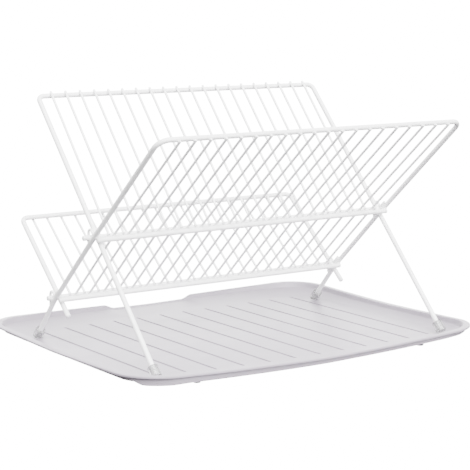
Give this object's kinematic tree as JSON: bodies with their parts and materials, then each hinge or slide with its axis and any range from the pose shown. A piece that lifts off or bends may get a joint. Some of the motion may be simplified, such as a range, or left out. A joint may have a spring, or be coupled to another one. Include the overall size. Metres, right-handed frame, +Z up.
{
  "type": "folding dish drying rack",
  "caption": "Folding wire dish rack: a tall rear frame and a short lower frame pivot on a leaning main frame, standing in a shallow drip tray with drain grooves and a pouring lip.",
  "frame": {"origin": "centre of the tray's outline, on the surface the tray stands on", "axes": "+X along the long side of the tray to the viewer's right, +Y to the back where the pouring lip is, +Z up"},
  "size_m": [0.5024, 0.4128, 0.3096],
  "materials": {
    "coated_wire": "satin white coating over steel wire",
    "foot_cap": "milky translucent soft plastic",
    "tray_plastic": "fine satin moulded surface",
    "pad_rubber": "matt black"
  },
  "bodies": {
    "tray": {"tray": "tray_plastic", "tray_pad_front_left": "pad_rubber", "tray_pad_front_right": "pad_rubber", "tray_pad_rear_left": "pad_rubber", "tray_pad_rear_right": "pad_rubber"},
    "main_frame": {"main_frame_rod": "coated_wire", "main_frame_wires": "coated_wire", "main_upper_stop_bar": "coated_wire", "main_lower_stop_bar": "coated_wire", "upper_eye_left": "coated_wire", "upper_eye_right": "coated_wire", "lower_eye_left": "coated_wire", "lower_eye_right": "coated_wire", "rear_foot_cap_left": "foot_cap", "rear_foot_cap_right": "foot_cap"},
    "rear_frame": {"rear_frame_rod": "coated_wire", "rear_frame_wires": "coated_wire", "rear_frame_pivot_bar": "coated_wire", "front_foot_cap_left": "foot_cap", "front_foot_cap_right": "foot_cap"},
    "lower_frame": {"lower_frame_rod": "coated_wire", "lower_frame_wires": "coated_wire", "lower_frame_pivot_bar": "coated_wire"}
  },
  "joints": [
    {"name": "rack_lift", "type": "slide", "parent": "tray", "child": "main_frame", "axis": [0, 0, 1], "range_m": [0, 0.24]},
    {"name": "rear_fold", "type": "hinge", "parent": "main_frame", "child": "rear_frame", "pos_m": [0, -0.0243, 0.1482], "axis": [1, 0, 0], "range_deg": [0, 85]},
    {"name": "lower_fold", "type": "hinge", "parent": "main_frame", "child": "lower_frame", "pos_m": [0, 0.07328, 0.06197], "axis": [1, 0, 0], "range_deg": [0, 92.1]}
  ],
  "couplings": [
    {"joint": "rack_lift", "follows": "rear_fold", "m_per_rad": 0.16},
    {"joint": "lower_fold", "follows": "rear_fold", "ratio": 1.08}
  ]
}
